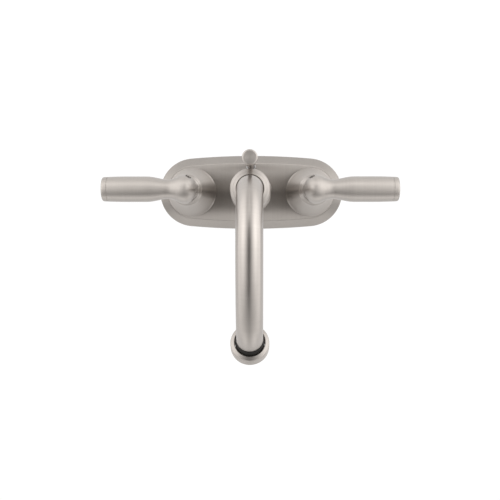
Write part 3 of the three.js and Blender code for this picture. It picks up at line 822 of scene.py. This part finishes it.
def make_nut(side, name):
    low, high = box_mm(f"mounting_nut_{name}")
    reach = (high.x - low.x) / 2
    sides = 240
    edge, body, wing = NUT["edge"], NUT["body"], NUT["wing_half_width"]
    loops = [
        circle(WASHER_BORE, low.z, sides),
        star(low.z, body - edge, reach - edge, wing - edge, sides),
        star(low.z + edge, body, reach, wing, sides),
        star(high.z - edge, body, reach, wing, sides),
        star(high.z, body - edge, reach - edge, wing - edge, sides),
        circle(WASHER_BORE, high.z, sides),
    ]
    nut = loft(f"wing_nut_{name}", place(loops, at(side * HANDLE_X, 0)), closed=True)
    finish_piece(nut, "base", GREY_PLASTIC, "grey_plastic", f"mounting_nut_{name}")


# ---------------------------------------------------------------- floor, lights and camera

# Brightness of the tent as (position, level) points. Overhead from front (-1) to back (+1); what its two
# sides add outwards from the middle, and how much of it holds from front to back; a bright panel behind, by
# width and height; and a band all round just above the floor.
TENT_FRONT_TO_BACK = (
    (-1.0, 0.25), (-0.95, 0.8), (-0.88, 0.85), (-0.8, 0.6), (-0.7, 0.27), (-0.54, 0.12),
    (0.0, 0.1), (0.3, 0.18), (0.5, 0.3), (0.75, 0.42), (0.9, 0.4), (1.0, 0.1),
)
TENT_SIDES = (
    (0.0, 0.0), (0.1, 0.06), (0.18, 0.26), (0.31, 0.68), (0.46, 1.2),
    (0.6, 1.65), (0.73, 2.0), (0.84, 2.1), (0.95, 1.5), (1.0, 0.8),
)
TENT_SIDES_REACH = (
    (-1.0, 0.0), (-0.9, 0.03), (-0.7, 0.15), (-0.45, 0.6), (-0.1, 0.98),
    (0.1, 1.25), (0.6, 1.1), (0.85, 0.6), (1.0, 0.0),
)
TENT_PANEL_WIDTH = ((0.0, 1.0), (0.2, 1.0), (0.42, 0.0), (1.0, 0.0))
TENT_PANEL_HEIGHT = ((-1.0, 0.0), (0.5, 0.0), (0.72, 0.9), (0.88, 1.3), (1.0, 0.6))
TENT_BAND = ((-0.3, 0.85), (0.1, 0.8), (0.35, 0.0), (1.0, 0.0))
TENT_SCALE = 2.5
TENT_RADIUS = 1.0
TENT_CENTRE = (0.0, -0.04, 0.1)
# The tent is a little brighter on the right.
TENT_RIGHT = 0.06
# Brightness of the pale floor, by distance behind the handles in metres, and how far it lies below the rod.
FLOOR_GLOW = ((-1.0, 0.94), (0.05, 0.94), (0.25, 1.1), (0.6, 1.1), (1.2, 0.9), (3.0, 0.9))
FLOOR_GAP = 0.004
FILL_PLACE = Vector((0.3, -0.5, 0.9))
FILL_AIM = Vector((0.0, -0.04, 0.08))


def curve(mat, value, points, low, high):
    """A value looked up on straight lines between (position, level) points.

    A colour ramp holds the levels, divided by TENT_SCALE, and the result is multiplied back.
    """
    shifted = mat.remap(value, 0.0, 1.0, low, high)
    ramp = mat.new("ShaderNodeValToRGB")
    stops = ramp.color_ramp.elements
    while len(stops) < len(points):
        stops.new(0.5)
    for stop, (position, level) in zip(stops, points):
        stop.position = (position - low) / (high - low)
        shade = level / TENT_SCALE
        stop.color = (shade, shade, shade, 1)
    mat.link(shifted, ramp.inputs["Fac"])
    return mat.math("MULTIPLY", ramp.outputs["Color"], TENT_SCALE)


def make_floor():
    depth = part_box("lift_rod")[0].z - FLOOR_GAP
    bpy.ops.mesh.primitive_plane_add(size=8.0, location=(0, 0, depth))
    floor = bpy.context.object
    floor.name = "pale_floor"
    mat = Nodes("pale_floor")
    coordinates = mat.new("ShaderNodeTexCoord")
    cloud = mat.noise(coordinates.outputs["Object"], 3.0, 2.0)
    mat.link(mat.ramp(cloud, (0.05, 0.05, 0.05), (0.06, 0.06, 0.06)), mat.shader.inputs["Base Color"])
    mat.set(Roughness=0.9)
    mat.shader.inputs["Emission Color"].default_value = (1.0, 1.0, 1.0, 1.0)
    parts = mat.new("ShaderNodeSeparateXYZ")
    mat.link(coordinates.outputs["Object"], parts.inputs["Vector"])
    glow = curve(mat, parts.outputs["Y"], FLOOR_GLOW, -1.0, 3.0)
    mat.link(glow, mat.shader.inputs["Emission Strength"])
    floor.data.materials.append(mat.material)


def tent_material():
    mat = Nodes("light_tent")
    coordinates = mat.new("ShaderNodeTexCoord")
    parts = mat.new("ShaderNodeSeparateXYZ")
    mat.link(coordinates.outputs["Object"], parts.inputs["Vector"])
    x, y, z = (parts.outputs[axis] for axis in "XYZ")
    spread = mat.math("SQRT", mat.math("ADD", mat.math("MULTIPLY", x, x), mat.math("MULTIPLY", z, z)))
    sideways = mat.math("DIVIDE", mat.math("ABSOLUTE", x), spread)
    middle = curve(mat, y, TENT_FRONT_TO_BACK, -1.0, 1.0)
    sides = curve(mat, sideways, TENT_SIDES, 0.0, 1.0)
    reach = curve(mat, y, TENT_SIDES_REACH, -1.0, 1.0)
    panel_width = curve(mat, sideways, TENT_PANEL_WIDTH, 0.0, 1.0)
    panel_height = curve(mat, y, TENT_PANEL_HEIGHT, -1.0, 1.0)
    panel = mat.math("MULTIPLY", panel_width, panel_height)
    overhead = mat.math("ADD", middle, mat.math("MULTIPLY", sides, reach))
    band = curve(mat, z, TENT_BAND, -0.3, 1.0)
    total = mat.math("ADD", overhead, mat.math("ADD", panel, band))
    right = mat.math("MULTIPLY_ADD", x, TENT_RIGHT, 1.0)
    mat.link(mat.math("MULTIPLY", total, right), mat.shader.inputs["Emission Strength"])
    mat.shader.inputs["Emission Color"].default_value = (1.0, 0.995, 0.985, 1.0)
    mat.shader.inputs["Base Color"].default_value = (0.0, 0.0, 0.0, 1.0)
    mat.set(Roughness=1.0, Specular_IOR_Level=0.0)
    return mat.material


def make_tent():
    """A half sphere of glowing cloth round the faucet, brightest on both sides and dim over the middle."""
    mesh = bmesh.new()
    bmesh.ops.create_uvsphere(mesh, u_segments=96, v_segments=64, radius=TENT_RADIUS)
    below = [vertex for vertex in mesh.verts if vertex.co.z < -0.2 * TENT_RADIUS]
    bmesh.ops.delete(mesh, geom=below, context="VERTS")
    data = bpy.data.meshes.new("light_tent")
    mesh.to_mesh(data)
    mesh.free()
    data.shade_smooth()
    data.materials.append(tent_material())
    tent = bpy.data.objects.new("light_tent", data)
    tent.location = TENT_CENTRE
    tent.visible_camera = False
    bpy.context.scene.collection.objects.link(tent)


def make_fill():
    fill = bpy.data.lights.new("fill", "AREA")
    fill.shape = "DISK"
    fill.size = 0.8
    fill.energy = 0.4
    lamp = bpy.data.objects.new("fill", fill)
    lamp.location = FILL_PLACE
    lamp.rotation_euler = (FILL_AIM - FILL_PLACE).to_track_quat("-Z", "Y").to_euler()
    bpy.context.scene.collection.objects.link(lamp)


def make_world():
    world = bpy.data.worlds.new("studio")
    world.use_nodes = True
    background = world.node_tree.nodes["Background"]
    background.inputs["Color"].default_value = (1.0, 1.0, 1.0, 1)
    background.inputs["Strength"].default_value = 1.0
    bpy.context.scene.world = world


def make_camera():
    """Almost straight above, a little in front of the handles, tilted slightly towards the outlet."""
    height_above_plate = 0.650
    to_the_right = 0.0065
    forward = 0.0232
    tilt = math.radians(2.36)
    lean = math.radians(0.65)
    data = bpy.data.cameras.new("camera")
    data.sensor_width = 36.0
    data.lens = 54.1
    data.clip_start = 0.01
    camera = bpy.data.objects.new("camera", data)
    camera.location = (to_the_right, -forward, PLATE_TOP * MM + height_above_plate)
    camera.rotation_euler = (-tilt, lean, 0)
    bpy.context.scene.collection.objects.link(camera)
    bpy.context.scene.camera = camera


# ---------------------------------------------------------------- assembly

bpy.context.scene.view_settings.view_transform = "Standard"

dress_packed_nodes()
make_plate()
make_gasket()
for side, name in ((-1, "left"), (1, "right")):
    make_bell(side, name)
    make_collar(side, name, f"{name}_handle")
    make_lever(side, name, f"{name}_handle")
    make_lever_stub(side, name, f"{name}_handle")
    make_end_cap(side, name, f"{name}_handle")
    make_set_screw(side, name, f"{name}_handle")
    make_washer(side, name)
    make_shank(side, name)
    make_nut(side, name)
make_column()
make_tube()
# The black ring at the outlet is a seal whose colour also paints the shade in the gap.
make_painted_shade_ring()
make_outlet()
make_lift_rod()
make_knob()
make_floor()
make_tent()
make_fill()
make_world()
make_camera()
